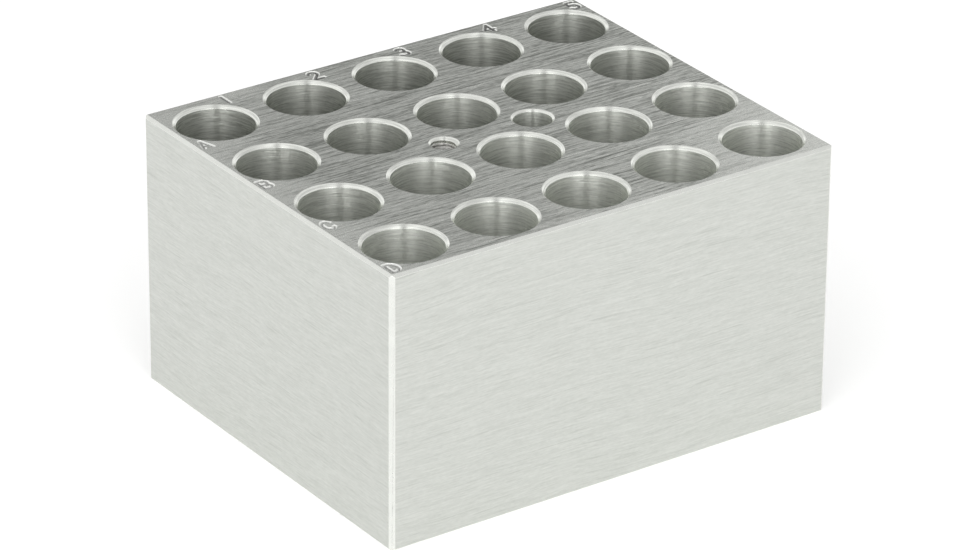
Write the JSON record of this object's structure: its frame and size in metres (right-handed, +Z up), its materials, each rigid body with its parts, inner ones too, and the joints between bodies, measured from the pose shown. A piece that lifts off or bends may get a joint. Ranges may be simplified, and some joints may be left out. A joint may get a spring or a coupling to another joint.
{
  "type": "dry block heater well block",
  "caption": "Rectangular aluminium block with a grid of chamfered round blind wells for test tubes, a thermometer well, a small lifting hole and engraved index letters and numbers.",
  "frame": {"origin": "centre of the underside", "axes": "+Z up, out of the wells' mouths; +X along the long side, from column 1 to column 5; +Y from row D to row A"},
  "size_m": [0.0908, 0.0762, 0.0509],
  "materials": {
    "brushed_aluminium": "bare machined aluminium, brushed along the length on the top and long sides, with bright machined chamfers and bored wells"
  },
  "bodies": {
    "root": {"well_block": "brushed_aluminium"}
  },
  "joints": []
}
